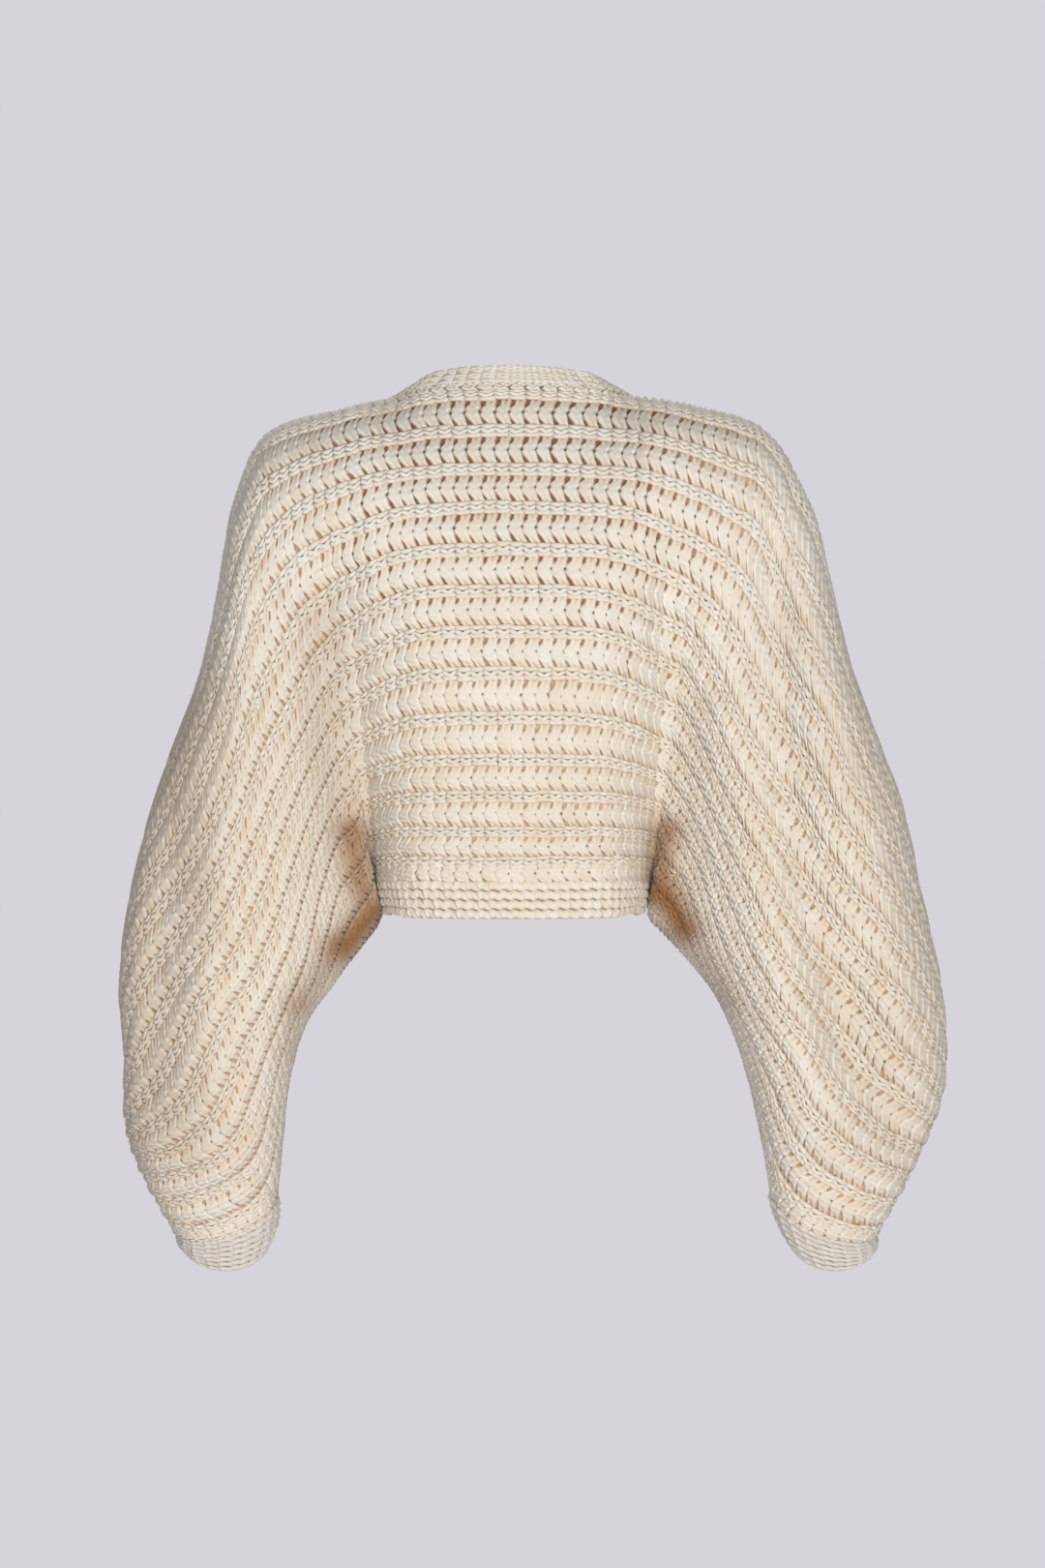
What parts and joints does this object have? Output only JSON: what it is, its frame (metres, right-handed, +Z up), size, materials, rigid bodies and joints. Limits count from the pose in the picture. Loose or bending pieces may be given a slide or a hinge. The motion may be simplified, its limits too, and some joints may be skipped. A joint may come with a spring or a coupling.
{
  "type": "cropped sweater",
  "caption": "Chunky knitted cropped sweater with wide batwing sleeves, held in its worn, hollow form with neck, hem and cuffs open.",
  "frame": {"origin": "between the shoulders, level with their tops, where the wearer carries the garment", "axes": "+Z up, +X towards the wearer's left, -Y towards the chest and +Y towards the back"},
  "size_m": [0.6699, 0.2182, 0.7281],
  "materials": {
    "back_panel": "matte chunky knit",
    "front_panel": "matte chunky knit",
    "neckband": "matte dense knit",
    "hem_band": "matte dense knit",
    "left_cuff": "matte dense knit",
    "right_cuff": "matte dense knit"
  },
  "bodies": {
    "root": {"back_panel": "back_panel", "front_panel": "front_panel", "neckband": "neckband", "hem_band": "hem_band", "left_cuff": "left_cuff", "right_cuff": "right_cuff"}
  },
  "joints": []
}
